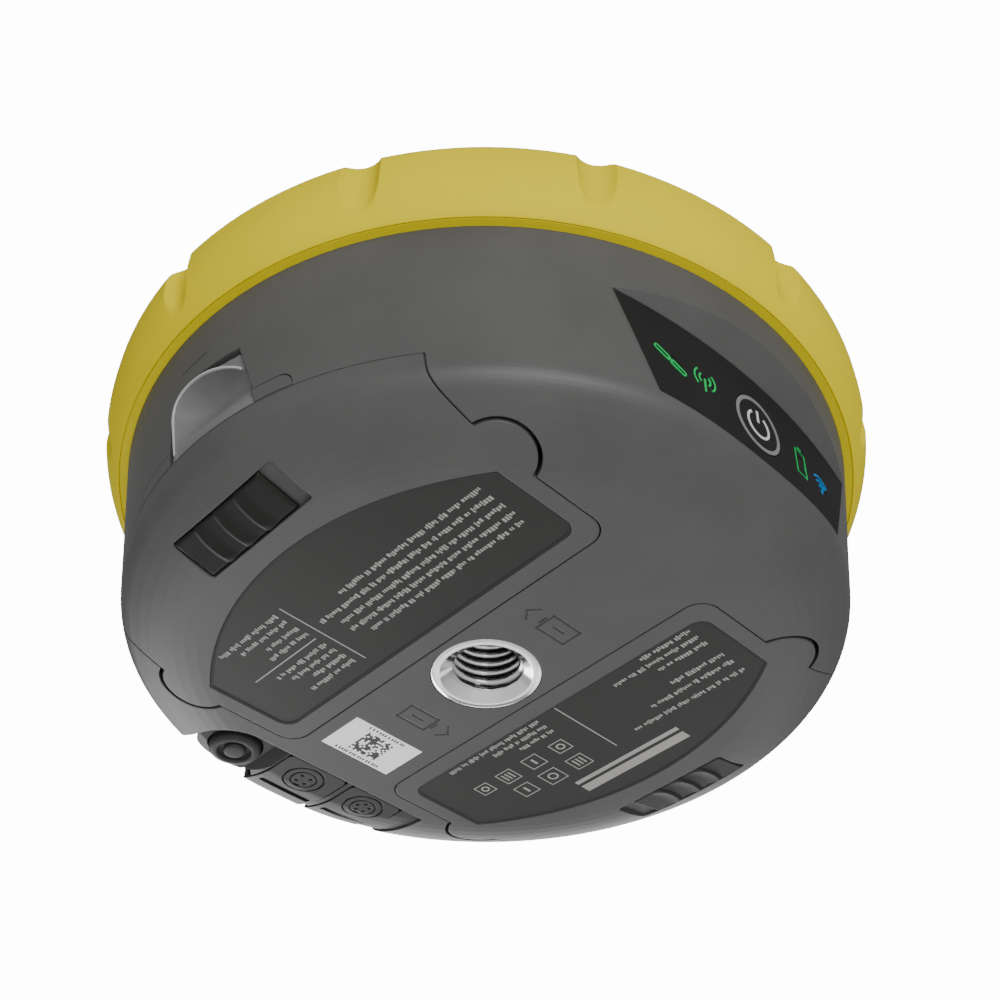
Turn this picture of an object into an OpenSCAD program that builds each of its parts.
// Satellite positioning receiver: a disc-shaped survey head that screws onto a pole.
// Origin at the mouth of the pole thread, on the flat base.  +Z up, -Y is the keypad side,
// +Y the connector side, and the two battery doors are at -X (left) and +X (right).
// All sizes are in millimetres.

/* [Body] */
// Radius of the flat base before the bevel starts
flat_r = 55.4; // [54:0.2:56]
// Radius of the arc that forms the bevel around the base
bevel_r = 32.4; // [31:0.2:33]
// Radius of the turn between the bevel and the side wall
turn_r = 5; // [4.5:0.1:5.5]
// Height of the lower housing, from the base to the bumper ring
body_h = 41.2; // [40.8:0.1:41.6]
// Overall height to the crown of the dome
overall_h = 76; // [75:0.5:78]
// Thickness of the moulded walls
wall = 2.6; // [2.4:0.1:2.8]

/* [Bumper ring] */
// Outer diameter of the bumper ring
ring_d = 172; // [171:0.5:173]
// Height of the top edge of the bumper ring
ring_top = 60; // [59.5:0.5:60.5]
// Number of grip notches around the ring
notches = 12; // [6:1:18]
// Depth of each grip notch
notch_depth = 2.6; // [1.5:0.1:2.8]
// Radius of the cutter that makes a notch
notch_r = 4.3; // [4:0.1:4.8]

/* [Pole insert] */
// Minor radius of the 5/8 inch x 11 thread in the pole insert
thread_r = 6.75; // [6.7:0.01:6.85]
// Depth of the thread
thread_len = 19; // [18:0.5:20]
// Radius of the insert's flange, flush with the base
insert_flange_r = 11.3; // [11.2:0.1:11.5]

/* [Battery doors] */
// Distance from the centre plane to a door's inner edge
door_x = 13; // [13:0.1:13.4]
// Half the width of a door, along Y
door_y = 45.8; // [45.5:0.1:46]
// Height of a door's outer edge above the base
door_z = 10.8; // [10.6:0.1:11]
// Gap around a door
door_gap = 0.3; // [0.25:0.05:0.35]
// Gap around a door's rounded ears
ear_gap = 0.8; // [0.7:0.05:0.9]
// Radius of a door's rounded ears
ear_r = 7.6; // [7.4:0.1:7.8]

/* [Batteries] */
// Battery pack size along X
battery_w = 36; // [35:0.5:36]
// Battery pack size along Y
battery_l = 68; // [66:0.5:68]
// Battery pack size along Z
battery_t = 19; // [18:0.5:19]

/* [Keypad] */
// Radius of the power button
button_r = 6.5; // [6.2:0.1:6.6]
// Height of the keypad panel's top edge
panel_top = 29.6; // [29:0.2:30]

/* [Connectors] */
// Radius of the round data sockets' shells
socket_r = 5; // [4.8:0.1:5.1]
// Radius of the antenna socket's barrel
antenna_socket_r = 4.6; // [4.5:0.05:4.7]

/* [Hidden] */
$fn = 96;
eps = 0.02;

// Angles of the outer profile, measured from straight down
bevel_a = 30;
wall_a = 81.2;
bevel_end = [flat_r + bevel_r * sin(bevel_a), bevel_r * (1 - cos(bevel_a))];
turn_c = [bevel_end[0] - turn_r * sin(bevel_a), bevel_end[1] + turn_r * cos(bevel_a)];
turn_end = [turn_c[0] + turn_r * sin(wall_a), turn_c[1] - turn_r * cos(wall_a)];

// Upper part of the housing and the dome
spigot_r = 78;                 // outside of the housing and cover, behind the bumper ring
split_z = 47;                  // joint between the lower housing and the top cover
upper_floor = 31;              // top face of the deck over the battery bays
cavity_r = spigot_r - wall;
seal_r = 76.4;
dome_edge_r = 77.6;
dome_start_z = ring_top - 0.6;
shoulder_r = 6;
ring_foot = 4.7;               // how far the ring's foot lies inside its outer diameter
ring_side_r = 19.2;            // radius of the curve up the ring's side

// Battery doors
corner_r = 4.5;
ear_x = 39.8;
ear_y = 43.8;
hinge_x = 18;
hinge_z = 2.4;
hinge_relief = 0.5;            // extra room that the swinging inner edge needs inside the recess
knuckle_r = 1.5;
hinge_pin_r = 0.75;
hinge_bore_r = 0.8;
lug_y = 22;
lug_w = 4;
door_skin = 2.2;
rim_z = 7.5;                   // face of the housing that a door closes against
rim_r = 70.8;                  // radius of that face's outer edge
label_x = 17.5;
label_y = 42;
label_arc_r = 70;
label_arc_x = 18.3;
label_t = 0.35;
label_depth = 0.15;
mark_depth = 0.2;

// Battery bays
bay_x = 22.5;
bay_w = battery_w + 1.2;
bay_l = battery_l + 1.2;
bay_top = 28.5;
battery_z = 9;
bay_wall = 2.6;

// Latch: a slider on the bevel, in a frame tilted like the bevel
latch_x = 61.6;
latch_z = 0.6;
latch_tilt = 11.1;
latch_w = 10;
latch_y0 = -15.2;
latch_y1 = 14.5;
latch_len = 25.4;
latch_face = 0.5;
latch_floor = 1.5;

// Finger scoops
scoop_y0 = -17.6;
scoop_y1 = 6.8;
scoop_lean = 4.2;              // how far the scoop's near side leans in over its height
scoop_far_r = 5.4;
scoop_top = 28.2;
scoop_drop = 1.3;              // how far the top edge falls towards the near side
scoop_back = 67;
band_top = 14.6;
band_y0 = -24.8;
band_y1 = 18.8;
band_r = 2.5;

// Keypad: a shallow cone that leans with the side wall
keypad_cy = 77.1;
keypad_r7 = 148.7;             // radius of the panel's face at z = 7
keypad_slope = 0.06;
keypad_t = 1.6;
keypad_foot = 25.6;            // half the panel's width at its foot
keypad_head = 35;              // half the panel's width at its top edge
keypad_z0 = 5.6;               // foot of the panel, at its middle
keypad_rise = 2.6;             // how much higher the foot is at its ends
button_z = 17.5;
icon_x = [-22, -14, 14, 22];
icon_z = 18;
board_w = 49.4;                // width of the small board behind the keypad

// Connector recess
recess_x1 = 27;
recess_y = 49.5;
recess_top = 14;
block_front = 66.6;
socket_left = [-2.6, 57.6];
socket_right = [14.2, 57.2];
antenna_pos = [-20, 58.4];
recess_end_r = antenna_pos[1] - recess_y;
boss_r = recess_end_r - 0.4;   // rubber boss around the antenna socket
boss_z = 2.4;
cover_w = [15.6, 14.2];
cover_y0 = 50.4;
cover_y1 = 65.4;
cover_hinge = [51.9, 2.1];
trunnion_r = 0.8;
trunnion_l = 0.8;

// Electronics
board_z = 35;
board_t = 1.6;
board_r = 70;
post_x = 40;
post_y = 24;
post_r = 3.6;
screw_r = 1.5;
pilot_r = 1.25;
standoff_xy = [[-52, -41], [52, -41], [-52, 41], [52, 41], [0, -58], [0, 58]];
plane_z = 50;
antenna_z = 55;

// ---------- helpers ----------

// Points along an arc about (cx, cz); angles run from straight down towards +R
function arc_points(cx, cz, r, a0, a1, n) =
    [for (i = [0 : n]) let (a = a0 + (a1 - a0) * i / n) [cx + r * sin(a), cz - r * cos(a)]];

// Radius of the side wall at a height above the turn
function wall_radius(z) = turn_end[0] + (z - turn_end[1]) / tan(wall_a);

// Outline of the body from the axis outwards, moved inwards by t
function body_profile(t, z0, z1) = concat(
    [[0, z0]],
    [for (q = arc_points(flat_r, bevel_r, bevel_r - t, 0, bevel_a, 7)) [q[0], max(q[1], z0)]],
    [for (q = arc_points(turn_c[0], turn_c[1], turn_r - t, bevel_a, wall_a, 6)) if (q[1] > z0) q],
    [[wall_radius(z1) - t / sin(wall_a), z1], [0, z1]]);

// Solid of revolution bounded by the body's outer surface, moved inwards by t
module body_solid(t, z0, z1) {
    rotate_extrude() polygon(body_profile(t, z0, z1));
}

// Places a left-hand piece for side -1 and turns it half a turn for side +1
module on_side(side) {
    rotate([0, 0, side > 0 ? 180 : 0]) children();
}

// Box given by its low and high corners
module box(lo, hi) {
    translate(lo) cube([hi[0] - lo[0], hi[1] - lo[1], hi[2] - lo[2]]);
}

// Cylinder along Y between y0 and y1 at (x, z)
module rod_y(x, z, r, y0, y1) {
    translate([x, y0, z]) rotate([-90, 0, 0]) cylinder(r = r, h = y1 - y0);
}

// Cylinder along X between x0 and x1 at (y, z)
module rod_x(y, z, r, x0, x1) {
    translate([x0, y, z]) rotate([0, 90, 0]) cylinder(r = r, h = x1 - x0);
}

// Flat outline with rounded corners, from (x0, y0) to (x1, y1)
module round_rect(x0, y0, x1, y1, r) {
    translate([x0 + r, y0]) square([x1 - x0 - 2 * r, y1 - y0]);
    translate([x0, y0 + r]) square([x1 - x0, y1 - y0 - 2 * r]);
    for (x = [x0 + r, x1 - r], y = [y0 + r, y1 - r]) translate([x, y]) circle(r = r);
}

// Plan outline of a left door, grown by g, and by ge round its ears
module door_outline(g, ge) {
    cx = -door_x - corner_r;
    translate([-90, -door_y - g]) square([90 + cx, 2 * (door_y + g)]);
    translate([cx - eps, -door_y + corner_r]) square([corner_r + g + eps, 2 * (door_y - corner_r)]);
    for (s = [-1, 1]) {
        translate([cx, s * (door_y - corner_r)]) circle(r = corner_r + g);
        translate([-ear_x, s * ear_y]) circle(r = ear_r + ge);
    }
}

// Moves into the tilted frame of a left latch
module latch_frame() {
    translate([-latch_x, 0, latch_z]) rotate([0, latch_tilt, 0]) children();
}

// Outline of a finger scoop and the band below it as (y, z), grown by g
module scoop_outline(g) {
    foot = door_z + door_gap / 2 + 0.1;
    near = scoop_y0 - g;
    far = scoop_y1 + g;
    top = scoop_top + g;
    intersection() {
        translate([-90, foot - g]) square([180, 40]);
        union() {
            polygon([[near, 0], [near, foot], [near + scoop_lean, top - scoop_drop], [far - scoop_far_r, top],
                [far, top - scoop_far_r], [far, 0]]);
            translate([far - scoop_far_r, top - scoop_far_r]) circle(r = scoop_far_r);
            round_rect(band_y0 - g, 0, band_y1 + g, band_top + g, band_r);
        }
    }
}

// Block behind the scoop outline, from the outside in to x = -back
module scoop_block(g, back) {
    translate([-90, 0, 0]) rotate([90, 0, 90]) linear_extrude(90 - back) scoop_outline(g);
}

// Space in front of the keypad face, moved back by t, with its sloping ceiling
module keypad_space(t) {
    r0 = keypad_r7 - t - 12 * keypad_slope;
    r1 = keypad_r7 - t + (panel_top - 7) * keypad_slope;
    translate([0, keypad_cy, 0]) rotate_extrude($fn = 180)
        polygon([[r0, -5], [r1, panel_top], [r1 + 12, panel_top + 9.6], [r1 + 12, -5]]);
}

// Height of the keypad recess's foot above the base, at a distance x from the middle
function keypad_foot_z(x) = keypad_z0 + keypad_rise * pow(x / keypad_foot, 2);

// Outline of the keypad panel as (x, z), grown by g, drawn out along -Y
module keypad_outline(g) {
    rotate([90, 0, 0]) linear_extrude(90) polygon(concat(
        [for (i = [-6 : 6]) let (x = (keypad_foot + g) * i / 6) [x, keypad_foot_z(x) - g]],
        [[keypad_head + g, panel_top + g], [-keypad_head - g, panel_top + g]]));
}

// Space in front of the keypad panel, above the lip at its foot
module keypad_opening() {
    intersection() {
        keypad_space(0);
        rotate([90, 0, 0]) linear_extrude(90) polygon(concat(
            [for (i = [-9 : 9]) let (x = keypad_foot * i / 6) [x, keypad_foot_z(x)]],
            [[60, 60], [-60, 60]]));
    }
}

// Space that holds the keypad panel: the panel grown by g, and deeper by g
module keypad_pocket(g) {
    intersection() {
        keypad_space(keypad_t + g);
        keypad_outline(g);
    }
}

// Plan outline of the connector recess, grown by g; its left end is round and open to the outside
module recess_outline(g) {
    translate([antenna_pos[0], recess_y - g]) square([recess_x1 - antenna_pos[0] + g, 60]);
    translate([antenna_pos[0] - recess_end_r - g, antenna_pos[1]]) square([recess_end_r + 1, 60]);
    translate(antenna_pos) circle(r = recess_end_r + g);
}

// Straight stroke of an engraved symbol, from p to q
module stroke(p, q, w) {
    d = q - p;
    translate(p) rotate(atan2(d[1], d[0])) translate([-w / 2, -w / 2]) square([norm(d) + w, w]);
}

// Symbols beside the pole insert: a battery and an arrow head that point to each door
module base_marks() {
    w = 0.45;
    for (m = [[1, 20.4], [-1, -20]]) translate([0, m[1]]) scale([m[0], 1]) {
        for (y = [-2.4, 2.4]) stroke([-4, y], [3.4, y], w);
        for (x = [-4, 3.4]) stroke([x, -2.4], [x, 2.4], w);
        stroke([4.1, -0.9], [4.1, 0.9], w);
        stroke([-1.6, 0], [1, 0], w);
        stroke([6.6, -2], [8.3, 0], w);
        stroke([8.3, 0], [6.6, 2], w);
    }
}

// ---------- body shells ----------

// Pair of lugs that hang from the housing and carry a door's hinge pins
module hinge_lugs() {
    for (s = [-1, 1]) translate([0, s * lug_y - lug_w / 2, 0]) difference() {
        union() {
            rod_y(-hinge_x, hinge_z, knuckle_r, 0, lug_w);
            box([-hinge_x - knuckle_r, 0, hinge_z], [-hinge_x + knuckle_r, lug_w, rim_z + 1]);
        }
        rod_y(-hinge_x, hinge_z, hinge_bore_r, -1, lug_w + 1);
    }
}

// Cuts that one battery door needs in the housing
module door_cuts() {
    difference() {
        union() {
            translate([0, 0, -1]) linear_extrude(rim_z + 1) door_outline(door_gap / 2, ear_gap / 2);
            // room for the inner edge as it swings up into the recess
            intersection() {
                translate([0, 0, 0.4]) linear_extrude(7.6) door_outline(door_gap / 2 + hinge_relief, 0);
                box([-hinge_x, -60, 0], [0, 60, 9]);
            }
        }
        hinge_lugs();
    }
    // room for the outer skirt
    difference() {
        translate([0, 0, rim_z - 1]) linear_extrude(door_z - rim_z + 1 + door_gap / 2)
            translate([-90, -door_y - door_gap / 2]) square([90 - door_x, 2 * door_y + door_gap]);
        translate([0, 0, rim_z - 2]) cylinder(r = rim_r, h = 10);
    }
    // battery bay
    box([-bay_x - bay_w, -bay_l / 2, rim_z - 1], [-bay_x, bay_l / 2, bay_top]);
    // keeper pocket for the latch hook
    box([-67.3, -2.8, rim_z - 1], [-63.1, 5.1, 9.2]);
    box([-67.3, -6.2, 9.2 - eps], [-63.1, 5.1, 12]);
    // seat of the battery contacts, in the end wall of the bay
    box([-47, bay_l / 2 - 1, 12], [-35, bay_l / 2 + bay_wall + 2, 22]);
    scoop_block(0, scoop_back);
    // witness line above the finger scoop
    difference() {
        box([-90, -4.4, 31.9], [-60, 3.4, 32.25]);
        cylinder(r = wall_radius(31) - 0.1, h = 40);
    }
}

// Space around the bays inside the lower housing
module housing_cavity() {
    difference() {
        body_solid(wall, 9.6, split_z - 2);
        for (s = [-1, 1]) scale([s, 1, 1])
            box([bay_x - 2.2, -bay_l / 2 - bay_wall, 5], [90, bay_l / 2 + bay_wall, upper_floor]);
        cylinder(r = 15.5, h = 24);
        // connector and keypad recesses keep a wall of their own
        linear_extrude(recess_top + 2) recess_outline(2);
        keypad_space(keypad_t + 2.4);
        for (q = standoff_xy) translate([q[0], q[1], 0]) cylinder(r = 3.4, h = upper_floor);
    }
    translate([0, 0, split_z - 2 - eps]) cylinder(r = cavity_r, h = 10);
}

module lower_housing() {
    color([0.37, 0.37, 0.37]) difference() {
        union() {
            body_solid(0, 0, body_h);
            translate([0, 0, body_h - eps]) cylinder(r = spigot_r, h = split_z - body_h + eps);
        }
        housing_cavity();
        for (s = [-1, 1]) on_side(s) door_cuts();
        // pole insert seat
        translate([0, 0, -1]) cylinder(r = insert_flange_r + 0.05, h = 4);
        translate([0, 0, 2]) cylinder(r = 9.6, h = 30);
        // sticker recess
        box([-9.6, 29.1, -1], [8.9, 41.3, 0.14]);
        translate([0, 0, -1]) linear_extrude(1 + mark_depth) base_marks();
        // keypad recess
        keypad_opening();
        keypad_pocket(0.05);
        box([-board_w / 2 - 0.6, -74, 9.5], [board_w / 2 + 0.6, -63.8, panel_top - 3]);
        // connector recess
        translate([0, 0, -1]) linear_extrude(recess_top + 1) recess_outline(0);
        for (q = [socket_left, socket_right])
            translate([q[0], q[1], 10]) cylinder(r = socket_r - 0.6, h = 12);
        translate([antenna_pos[0], antenna_pos[1], 10]) cylinder(r = antenna_socket_r + 0.1, h = 12);
        // groove for the main seal
        translate([0, 0, split_z - 1.2]) difference() {
            cylinder(r = seal_r + 0.9, h = 4);
            translate([0, 0, -1]) cylinder(r = seal_r - 0.9 + 0.4, h = 6);
        }
        // screw holes through the bay roofs
        screw_posts(screw_r + 0.15, bay_top - 1, upper_floor + 1);
        for (q = standoff_xy) translate([q[0], q[1], upper_floor - 6]) cylinder(r = 1.2, h = 7);
    }
}

module bumper_ring() {
    outer = ring_d / 2;
    side_z = ring_top - 6;
    color([0.95, 0.8, 0.05]) difference() {
        rotate_extrude($fn = 180) polygon(concat(
            [[spigot_r + 0.1, body_h + 0.02], [outer - ring_foot - 0.4, body_h + 0.08]],
            arc_points(outer - ring_side_r, side_z, ring_side_r, asin(1 - ring_foot / ring_side_r), 90, 8),
            arc_points(outer - 3.4, ring_top - 3.4, 3.4, 90, 180, 6),
            [[spigot_r + 0.6, ring_top], [spigot_r + 0.1, ring_top - 0.5]]));
        // the notches run out at the foot, where the side curves in behind them
        for (i = [0 : notches - 1]) rotate([0, 0, i * 360 / notches])
            translate([outer + notch_r - notch_depth, 0, body_h + 1]) cylinder(r = notch_r, h = 30);
    }
}

// Four round posts or holes of the housing screws, from z0 to z1
module screw_posts(r, z0, z1) {
    for (x = [-post_x, post_x], y = [-post_y, post_y]) translate([x, y, z0]) cylinder(r = r, h = z1 - z0);
}

module top_cover() {
    color([0.3, 0.3, 0.31]) difference() {
        union() {
            difference() {
                union() {
                    translate([0, 0, split_z + 0.02]) cylinder(r = spigot_r, h = dome_start_z - split_z);
                    rotate_extrude($fn = 180) polygon(dome_outline(0));
                }
                rotate_extrude($fn = 180) polygon(dome_outline(2.4));
                translate([0, 0, split_z - 1]) cylinder(r = cavity_r, h = dome_start_z - split_z + 1 + eps);
            }
            // posts that take the housing screws
            intersection() {
                screw_posts(post_r, upper_floor + 0.05, overall_h);
                union() {
                    cylinder(r = cavity_r, h = dome_start_z);
                    rotate_extrude($fn = 180) polygon(dome_outline(1.2));
                }
            }
        }
        screw_posts(pilot_r, upper_floor - 1, upper_floor + 14);
    }
}

// Half outline of the dome from its edge to the crown, moved inwards by t
function dome_outline(t) = let (
        base_r = dome_edge_r - t,
        edge_c = [dome_edge_r - shoulder_r, dome_start_z],
        crown = overall_h - t,
        top_a = 75,
        edge = arc_points(edge_c[0], edge_c[1], shoulder_r - t, 90, 90 + top_a, 8),
        last = edge[len(edge) - 1],
        big_r = (last[0] * last[0] + pow(crown - last[1], 2)) / (2 * (crown - last[1])),
        a_last = asin(last[0] / big_r))
    concat([[0, dome_start_z - 0.01]], edge,
        [for (i = [1 : 9]) let (a = a_last * (1 - i / 9)) [big_r * sin(a), crown - big_r * (1 - cos(a))]]);

module housing_seal() {
    color([0.1, 0.1, 0.1]) translate([0, 0, split_z - 1.15]) difference() {
        cylinder(r = seal_r + 0.85, h = 1.15);
        translate([0, 0, -1]) cylinder(r = seal_r - 0.4, h = 4);
    }
}

module housing_screws() {
    color([0.7, 0.7, 0.72]) {
        difference() {
            screw_posts(2.9, bay_top - 0.35, bay_top);
            for (x = [-post_x, post_x], y = [-post_y, post_y])
                translate([x, y, bay_top - 1]) cylinder(r = 1.2, h = 0.9, $fn = 6);
        }
        screw_posts(pilot_r - 0.02, bay_top - 0.1, upper_floor + 10);
    }
}

module pole_insert() {
    color([0.8, 0.8, 0.8]) difference() {
        union() {
            cylinder(r = insert_flange_r, h = 2.9);
            translate([0, 0, 2.8]) cylinder(r = 9.5, h = 24.2);
        }
        translate([0, 0, -1]) cylinder(r = thread_r, h = thread_len + 1);
        translate([0, 0, -eps]) cylinder(r1 = 9.6, r2 = thread_r, h = 2.2);
    }
}

module insert_nut() {
    color([0.75, 0.75, 0.76]) translate([0, 0, 24.05]) difference() {
        cylinder(r = 13.6, h = 2.9, $fn = 6);
        translate([0, 0, -1]) cylinder(r = 9.55, h = 6);
    }
}

module data_sticker() {
    color([0.93, 0.93, 0.92]) box([-9.5, 29.2, 0.02], [8.8, 41.2, 0.12]);
}

module finger_scoop(side) {
    color([0.5, 0.5, 0.5]) on_side(side) difference() {
        intersection() {
            body_solid(0, 8, 32);
            scoop_block(-0.15, scoop_back + 0.05);
        }
        // hollow that a finger reaches into
        translate([-82.8, (scoop_y0 + scoop_y1) / 2 - 1, 20]) rotate([6, 8, 0])
            cylinder(r = 13.6, h = 60, center = true);
        // deep gap along the near half of the top edge
        box([-90, -40, scoop_top - 2.1], [-69.8, -4, 40]);
    }
}

// ---------- battery doors ----------

module battery_door(side) {
    rib_x0 = -bay_x - bay_w - 1;
    rib_x1 = -bay_x + 1;
    rib_y = bay_l / 2 + 1;
    color([0.36, 0.36, 0.36]) on_side(side) difference() {
        union() {
            difference() {
                intersection() {
                    body_solid(0, 0, door_z);
                    linear_extrude(door_z + 1) door_outline(-door_gap / 2, -ear_gap / 2);
                }
                // hollow inside, leaving a skin and a low rim
                intersection() {
                    body_solid(door_skin, door_skin, door_z + 5);
                    translate([0, 0, door_skin]) linear_extrude(20)
                        translate([-90, -door_y + 2]) square([90 - hinge_x - 2.4, 2 * door_y - 4]);
                }
                // ears are thin, so that they clear the recess as the door swings
                for (s = [-1, 1]) translate([0, s * (door_y - door_gap / 2 + 5), 0])
                    box([-60, -5, 3], [-20, 5, 20]);
                // the rim stays below the face it closes on
                translate([0, 0, rim_z - 0.3]) cylinder(r = rim_r + 0.3, h = 10);
                // thin edge over the hinge
                box([-hinge_x - 3, -60, 1], [0, 60, 20]);
            }
            // rib that carries the seal
            difference() {
                box([rib_x0 - 0.1, -rib_y, door_skin - 1], [rib_x1 + 0.1, rib_y, 6.7]);
                box([rib_x0 + 1.2, -rib_y + 1.2, 0], [rib_x1 - 1.2, rib_y - 1.2, 9]);
                difference() {
                    translate([0, 0, -1]) cylinder(r = 120, h = 10);
                    body_solid(0.6, 0, 12);
                }
            }
            // thicker bed behind the latch
            intersection() {
                body_solid(0.5, 0, 12);
                latch_frame() box([-6.2, -17, 1], [6.4, 16.4, 4.2]);
            }
            // hinge knuckles
            for (s = [-1, 1], k = [-1, 1]) translate([0, s * lug_y + k * 6, 0]) {
                rod_y(-hinge_x, hinge_z, knuckle_r, -3.8, 3.8);
                box([-hinge_x - 3.2, -3.8, 0.5], [-hinge_x, 3.8, hinge_z + 0.6]);
            }
        }
        for (s = [-1, 1]) {
            rod_y(-hinge_x, hinge_z, hinge_pin_r, s * lug_y - 11, s * lug_y + 11);
            // thinner skin below each hinge lug
            box([-hinge_x - 2.2, s * lug_y - lug_w / 2 - 0.2, 0.7],
                [0, s * lug_y + lug_w / 2 + 0.2, 5]);
        }
        // latch pocket and its slot
        latch_frame() {
            translate([0, 0, -3]) linear_extrude(latch_floor + 3)
                round_rect(-latch_w / 2, latch_y0, latch_w / 2, latch_y1, 0.8);
            box([-4.5, -6.4, 0], [-1.5, 6.6, 6]);
        }
        translate([0, 0, -1]) linear_extrude(1 + label_depth + label_t) label_outline(0.1);
    }
}

// Outline of a left door label
module label_outline(g) {
    r = 3.2;
    intersection() {
        translate([label_arc_x, 0]) circle(r = label_arc_r + g, $fn = 180);
        round_rect(-60, -label_y - g, -label_x + g, label_y + g, r);
    }
}

module door_label(side) {
    color([0.19, 0.18, 0.17]) on_side(side)
        translate([0, 0, label_depth]) linear_extrude(label_t - 0.01) label_outline(0);
}

module door_seal(side) {
    x0 = -bay_x - bay_w - 1;
    x1 = -bay_x + 1;
    y = bay_l / 2 + 1;
    color([0.12, 0.12, 0.12]) on_side(side) difference() {
        box([x0, -y, 6.7], [x1, y, rim_z - 0.05]);
        box([x0 + 1.1, -y + 1.1, 6], [x1 - 1.1, y - 1.1, 9]);
    }
}

module door_hinge_pins(side) {
    color([0.75, 0.75, 0.76]) on_side(side)
        for (s = [-1, 1]) rod_y(-hinge_x, hinge_z, hinge_pin_r, s * lug_y - 10, s * lug_y + 10);
}

module latch_slider(side) {
    y1 = latch_y1 - 0.3;
    x1 = latch_w / 2 - 0.2;
    color([0.16, 0.16, 0.15]) on_side(side) {
        latch_frame() {
            box([-x1, y1 - latch_len, latch_face], [x1, y1, latch_floor - 0.05]);
            // keel through the slot in the door
            box([-4.2, -1.2, latch_floor - 0.5], [-1.8, 5.8, 4.4]);
        }
        // three curved ridges, kept just inside the body's surface
        intersection() {
            latch_frame() for (y = [8.6 : -5.8 : -3]) intersection() {
                box([-x1, -10, -0.4], [x1, 14, latch_face + 0.2]);
                translate([0.8, y - 12.4, -1]) difference() {
                    cylinder(r = 12.6, h = 3);
                    translate([0, 0, -1]) cylinder(r = 11.8, h = 5);
                    translate([-20, -40, -1]) cube([40, 44, 5]);
                }
            }
            body_solid(0.1, 0.1, 20);
        }
    }
}

module latch_hook(side) {
    color([0.7, 0.7, 0.72]) on_side(side) {
        latch_frame() box([-4.9, -3.4, 4.45], [-1.2, 8, 5.2]);
        difference() {
            box([-66, 1.5, 5.4], [-63.8, 4.5, 11.2]);
            latch_frame() box([-8, -10, 0], [8, 10, 4.5]);
        }
        box([-66, -1, 9.7], [-63.8, 1.6, 11.2]);
    }
}

// ---------- batteries ----------

module battery(side) {
    x0 = -bay_x - bay_w / 2 - battery_w / 2;
    color([0.22, 0.22, 0.23]) on_side(side) difference() {
        translate([x0, -battery_l / 2, battery_z]) linear_extrude(battery_t)
            round_rect(0, 0, battery_w, battery_l, 2.5);
        // pull recess in the underside
        translate([x0 + battery_w / 2, 0, battery_z - 5]) cylinder(r = 7, h = 6.2);
        // contact pads are set into the end face
        for (i = [0 : 3]) translate([-45.5 + 2.8 * i, battery_l / 2 - 0.3, 14]) cube([1.6, 1, 6]);
    }
}

module battery_contacts(side) {
    y0 = bay_l / 2;
    color([0.15, 0.15, 0.15]) on_side(side) {
        difference() {
            box([-46.9, y0, 12.1], [-35.1, y0 + 3, 21.9]);
            for (i = [0 : 3]) translate([-45.6 + 2.8 * i, y0 - 1, 13.8]) cube([1.8, 2, 6.4]);
        }
        for (i = [0 : 3]) translate([-45.3 + 2.8 * i, y0 - 0.5, 14.4]) cube([1.2, 1.6, 5.2]);
    }
}

// ---------- keypad ----------

module keypad_panel() {
    color([0.18, 0.18, 0.18]) difference() {
        intersection() {
            keypad_pocket(0);
            body_solid(0.1, 0.5, body_h);
        }
        keypad_space(0.02);
        translate([0, -90, button_z]) rotate([-90, 0, 0]) cylinder(r = button_r + 0.15, h = 40);
        for (x = icon_x) translate([x, -90, icon_z]) rotate([-90, 0, 0]) cylinder(r = 1.6, h = 40);
    }
}

module power_button() {
    color([0.2, 0.2, 0.2]) intersection() {
        translate([0, -90, button_z]) rotate([-90, 0, 0]) cylinder(r = button_r, h = 40);
        difference() {
            keypad_space(keypad_t + 0.4);
            keypad_space(0.05);
        }
    }
    color([0.2, 0.2, 0.2]) translate([0, -70.6, button_z]) rotate([-90, 0, 0]) cylinder(r = 2, h = 2);
}

module keypad_board() {
    color([0.05, 0.3, 0.15]) difference() {
        box([-board_w / 2, -65.6, 10.5], [board_w / 2, -64.2, panel_top - 4]);
        for (x = [-18, 18]) translate([x, -68, 12.5]) rotate([-90, 0, 0]) cylinder(r = 1.1, h = 8);
    }
}

module button_switch() {
    color([0.75, 0.75, 0.75]) {
        box([-3, -67, button_z - 3], [3, -65.6, button_z + 3]);
        translate([0, -67.6, button_z]) rotate([-90, 0, 0]) cylinder(r = 1.6, h = 0.7);
    }
}

module status_light_guides() {
    color([0.7, 0.95, 0.8]) for (x = icon_x) difference() {
        translate([x, -80, icon_z]) rotate([-90, 0, 0]) cylinder(r = 1.5, h = 14.35);
        keypad_space(0.1);
    }
}

// ---------- connectors ----------

module cover_pocket(cx, w) {
    box([cx - w / 2 - 0.3, cover_y0 - 2, -1], [cx + w / 2 + 0.3, 90, 3.6]);
}

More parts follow.
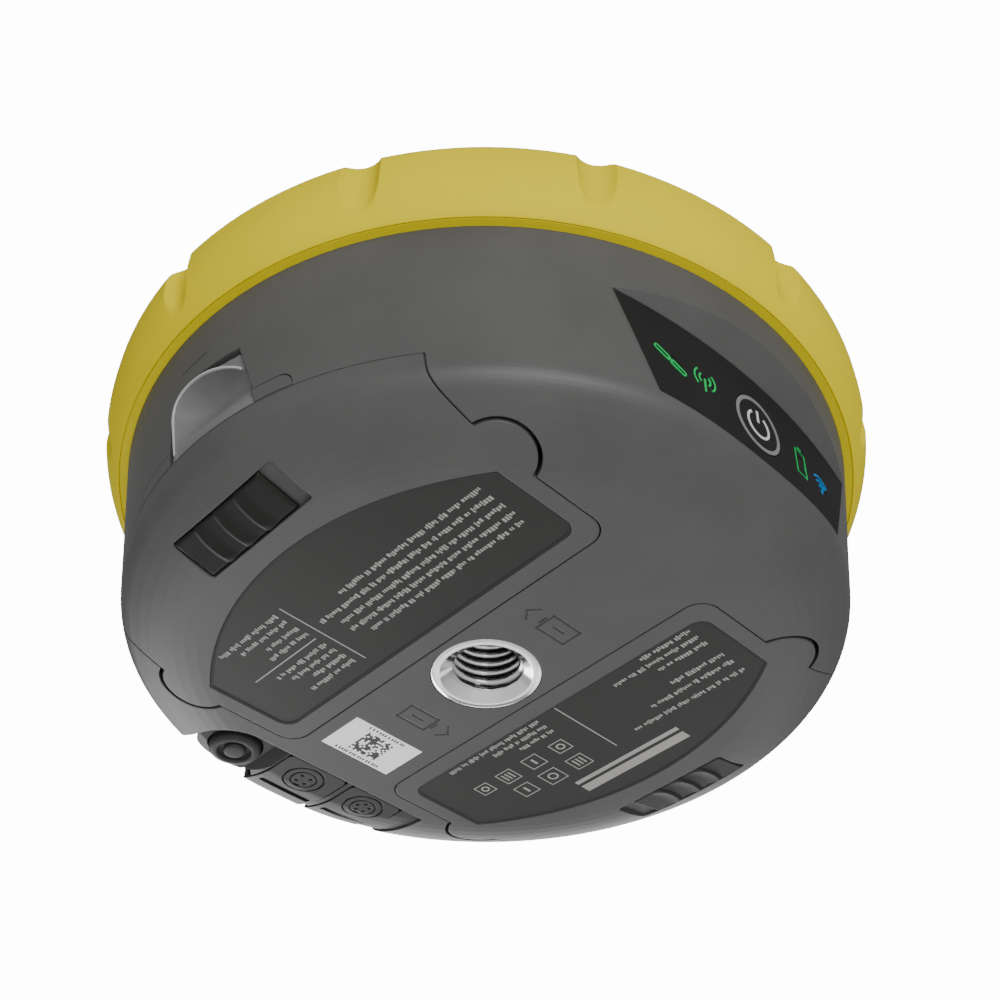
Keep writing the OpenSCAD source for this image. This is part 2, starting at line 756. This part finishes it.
module port_block() {
    sockets = [socket_left, socket_right];
    color([0.1, 0.1, 0.1]) difference() {
        intersection() {
            body_solid(0.5, 0.5, recess_top - 0.05);
            translate([0, 0, 0.6]) linear_extrude(recess_top - 0.65) union() {
                polygon([[antenna_pos[0], recess_y + 0.1], [recess_x1 - 0.1, recess_y + 0.1],
                    [recess_x1 - 0.1, block_front], [-9.6, block_front], [-14.2, 60.8],
                    [antenna_pos[0], 60.8]]);
                translate(antenna_pos) circle(r = boss_r);
            }
            translate([0, 0, -1]) cylinder(r = 70.4, h = 20);
        }
        // step down to the antenna boss
        rotate([90, 0, 0]) translate([0, 0, -90]) linear_extrude(60)
            polygon([[-40, -1], [-11, -1], [-11, 0.6], [-13.6, boss_z], [-40, boss_z]]);
        for (i = [0, 1]) {
            reach = cover_w[i] / 2 + trunnion_l + 0.05;
            cover_pocket(sockets[i][0], cover_w[i]);
            translate([sockets[i][0], sockets[i][1], 2]) cylinder(r = socket_r + 0.05, h = 20);
            rod_x(cover_hinge[0], cover_hinge[1], trunnion_r + 0.05,
                sockets[i][0] - reach, sockets[i][0] + reach);
            // room for the cover's heel as it turns
            rod_x(cover_hinge[0], cover_hinge[1], 2.3,
                sockets[i][0] - cover_w[i] / 2 - 0.3, sockets[i][0] + cover_w[i] / 2 + 0.3);
        }
        // well around the antenna socket
        translate([antenna_pos[0], antenna_pos[1], -1]) cylinder(r = 6.1, h = 9);
        translate([antenna_pos[0], antenna_pos[1], 2]) cylinder(r = antenna_socket_r + 0.05, h = 20);
    }
}

module data_socket(pos, pins) {
    color([0.7, 0.7, 0.72]) translate([pos[0], pos[1], 0]) {
        difference() {
            translate([0, 0, 5.6]) cylinder(r = socket_r, h = 8.3);
            translate([0, 0, 0]) cylinder(r = socket_r - 0.9, h = 11);
        }
        translate([0, 0, 13.8]) cylinder(r = socket_r - 0.8, h = 5);
        for (i = [0 : pins - 1]) rotate([0, 0, i * 360 / pins]) translate([2.2, 0, 8])
            cylinder(r = 0.4, h = 4);
    }
}

module port_cover(cx, pos, w, pins) {
    plug_r = socket_r - 1.5;
    color([0.12, 0.12, 0.12]) difference() {
        union() {
            intersection() {
                translate([0, 0, 0.55]) linear_extrude(2.75)
                    round_rect(cx - w / 2, cover_y0, cx + w / 2, cover_y1, 1.3);
                body_solid(0.3, 0.3, 20);
            }
            // lip that is pulled to open the cover
            intersection() {
                box([cx - w / 2, cover_y1 - 1.8, 0.55], [cx + w / 2, block_front + 2.2, 7.6]);
                body_solid(0.3, 0.3, 20);
                union() {
                    box([cx - w / 2, block_front + 0.25, 0], [cx + w / 2, 90, 9]);
                    box([cx - w / 2, cover_y1 - 2, 0], [cx + w / 2, 90, 3.3]);
                }
                translate([0, 0, -1]) cylinder(r = 70.4, h = 20);
            }
            translate([pos[0], pos[1], 3.2]) difference() {
                cylinder(r = plug_r, h = 2.2);
                translate([0, 0, 0.6]) cylinder(r = plug_r - 1, h = 3);
            }
            rod_x(cover_hinge[0], cover_hinge[1], trunnion_r,
                cx - w / 2 - trunnion_l, cx + w / 2 + trunnion_l);
        }
        // trench between the face and the pull lip
        box([cx - w / 2 + 1.3, cover_y1 - 2.9, -1], [cx + w / 2 - 0.9, cover_y1 - 1, 2.2]);
        // engraved ring and pins of the connector symbol
        translate([pos[0], pos[1] - 1.4, 0]) {
            difference() {
                cylinder(r = 4.8, h = 1.05);
                translate([0, 0, -1]) cylinder(r = 4.35, h = 4);
            }
            difference() {
                cylinder(r = 3.1, h = 0.95);
                translate([0, 0, -1]) cylinder(r = 2.75, h = 4);
            }
            for (i = [0 : pins - 1]) rotate([0, 0, i * 360 / pins + 45]) translate([1.6, 0, 0])
                cylinder(r = 0.42, h = 0.95, $fn = 24);
            box([-0.7, 2.2, 0], [0.7, 3, 1]);
        }
        // grip ribs on the lip
        for (z = [1.6 : 1.2 : 6.4]) box([cx - w / 2 - 1, block_front + 2, z], [cx + w / 2 + 1, 90, z + 0.5]);
    }
}

module antenna_socket() {
    color([0.8, 0.7, 0.4]) translate([antenna_pos[0], antenna_pos[1], 0]) {
        difference() {
            translate([0, 0, 2.4]) cylinder(r = antenna_socket_r, h = 17);
            translate([0, 0, 0]) cylinder(r = 3.6, h = 10);
        }
        translate([0, 0, 4.4]) cylinder(r = 1.1, h = 6);
    }
}

module antenna_cap() {
    color([0.12, 0.12, 0.12]) translate([antenna_pos[0], antenna_pos[1], 0]) difference() {
        union() {
            translate([0, 0, 1.1]) cylinder(r = 5.7, h = 6.2);
            translate([0, 0, 0.6]) cylinder(r = 5, h = 1);
        }
        translate([0, 0, 2.2]) cylinder(r = antenna_socket_r + 0.1, h = 8);
        // ring groove around the middle knob
        translate([0, 0, 0]) difference() {
            cylinder(r = 3.7, h = 1.5);
            translate([0, 0, -1]) cylinder(r = 2.3, h = 4);
        }
    }
}

// ---------- electronics ----------

module main_board() {
    color([0.05, 0.3, 0.15]) translate([0, 0, board_z]) difference() {
        cylinder(r = board_r, h = board_t);
        screw_posts(post_r + 0.4, -1, 4);
        for (q = standoff_xy) translate([q[0], q[1], -1]) cylinder(r = 1.6, h = 4);
    }
}

module board_standoffs() {
    color([0.8, 0.7, 0.4]) for (q = standoff_xy) translate([q[0], q[1], upper_floor]) difference() {
        cylinder(r = 2.9, h = board_z - upper_floor - 0.01, $fn = 6);
        translate([0, 0, -1]) cylinder(r = 1.3, h = 8);
    }
}

module board_screws() {
    color([0.7, 0.7, 0.72]) for (q = standoff_xy) translate([q[0], q[1], 0]) {
        translate([0, 0, upper_floor - 4]) cylinder(r = 1.1, h = board_z + board_t - upper_floor + 4.1);
        difference() {
            translate([0, 0, board_z + board_t + 0.02]) cylinder(r = 2.6, h = 1.6);
            translate([0, 0, board_z + board_t + 0.9]) cylinder(r = 1.2, h = 2, $fn = 6);
        }
    }
}

// Open-topped box used as a shield can, upside down over its parts
module shield(x, y, w, l, h) {
    translate([x, y, board_z + board_t + 0.01]) difference() {
        cube([w, l, h]);
        translate([0.4, 0.4, -1]) cube([w - 0.8, l - 0.8, h + 0.6]);
    }
}

module shield_cans() {
    color([0.78, 0.78, 0.8]) {
        shield(-30, -18, 26, 34, 4);
        shield(2, -20, 28, 22, 4);
        shield(4, 6, 22, 18, 3.4);
    }
}

module radio_module() {
    color([0.6, 0.6, 0.62]) translate([-24, 27, board_z + board_t + 0.01]) {
        cube([34, 26, 5]);
        translate([3, 3, 4.99]) cube([28, 20, 0.6]);
    }
}

module modem_module() {
    color([0.62, 0.62, 0.64]) translate([-20, -52, board_z + board_t + 0.01]) {
        cube([30, 30, 2.4]);
        translate([1.5, 1.5, 2.39]) cube([27, 27, 1.2]);
    }
}

module board_connector() {
    color([0.15, 0.15, 0.15]) translate([34, -8, board_z + board_t + 0.01])
        cube([5, 16, plane_z - board_z - board_t - 0.03]);
}

module ground_plane() {
    color([0.75, 0.76, 0.78]) translate([0, 0, plane_z]) difference() {
        union() {
            cylinder(r = 68, h = 1.5);
            difference() {
                cylinder(r = 68, h = 4.4);
                translate([0, 0, -1]) cylinder(r = 66.5, h = 9);
            }
        }
        screw_posts(post_r + 0.4, -1, 4);
    }
}

module antenna_spacers() {
    color([0.9, 0.9, 0.88]) for (a = [45 : 90 : 315]) rotate([0, 0, a])
        translate([30, 0, plane_z + 1.51]) difference() {
            cylinder(r = 3, h = antenna_z - plane_z - 1.53);
            translate([0, 0, -1]) cylinder(r = 1.3, h = 8);
        }
}

module antenna_board() {
    color([0.9, 0.9, 0.85]) translate([0, 0, antenna_z]) difference() {
        cylinder(r = 58, h = 2);
        screw_posts(post_r + 0.4, -1, 4);
    }
}

module antenna_element() {
    color([0.72, 0.45, 0.2]) translate([0, 0, antenna_z + 2.01]) {
        cylinder(r = 34, h = 5);
        translate([0, 0, 4.99]) cylinder(r = 24, h = 4);
    }
}

lower_housing();
bumper_ring();
top_cover();
housing_seal();
housing_screws();
pole_insert();
insert_nut();
data_sticker();
finger_scoop(-1);  // finger_scoop_left
finger_scoop(1);  // finger_scoop_right
battery_door(-1);  // battery_door_left
battery_door(1);  // battery_door_right
door_hinge_pins(-1);  // door_hinge_pins_left
door_hinge_pins(1);  // door_hinge_pins_right
door_seal(-1);  // door_seal_left
door_seal(1);  // door_seal_right
door_label(-1);  // door_label_left
door_label(1);  // door_label_right
latch_slider(-1);  // latch_slider_left
latch_slider(1);  // latch_slider_right
latch_hook(-1);  // latch_hook_left
latch_hook(1);  // latch_hook_right
battery(-1);  // battery_left
battery(1);  // battery_right
battery_contacts(-1);  // battery_contacts_left
battery_contacts(1);  // battery_contacts_right
keypad_panel();
power_button();
keypad_board();
button_switch();
status_light_guides();
port_block();
data_socket(socket_left, 8);  // data_socket_left
data_socket(socket_right, 5);  // data_socket_right
port_cover(socket_left[0], socket_left, cover_w[0], 4);  // port_cover_left
port_cover(socket_right[0], socket_right, cover_w[1], 5);  // port_cover_right
antenna_socket();
antenna_cap();
main_board();
board_standoffs();
board_screws();
shield_cans();
radio_module();
modem_module();
board_connector();
antenna_board();
ground_plane();
antenna_element();
antenna_spacers();
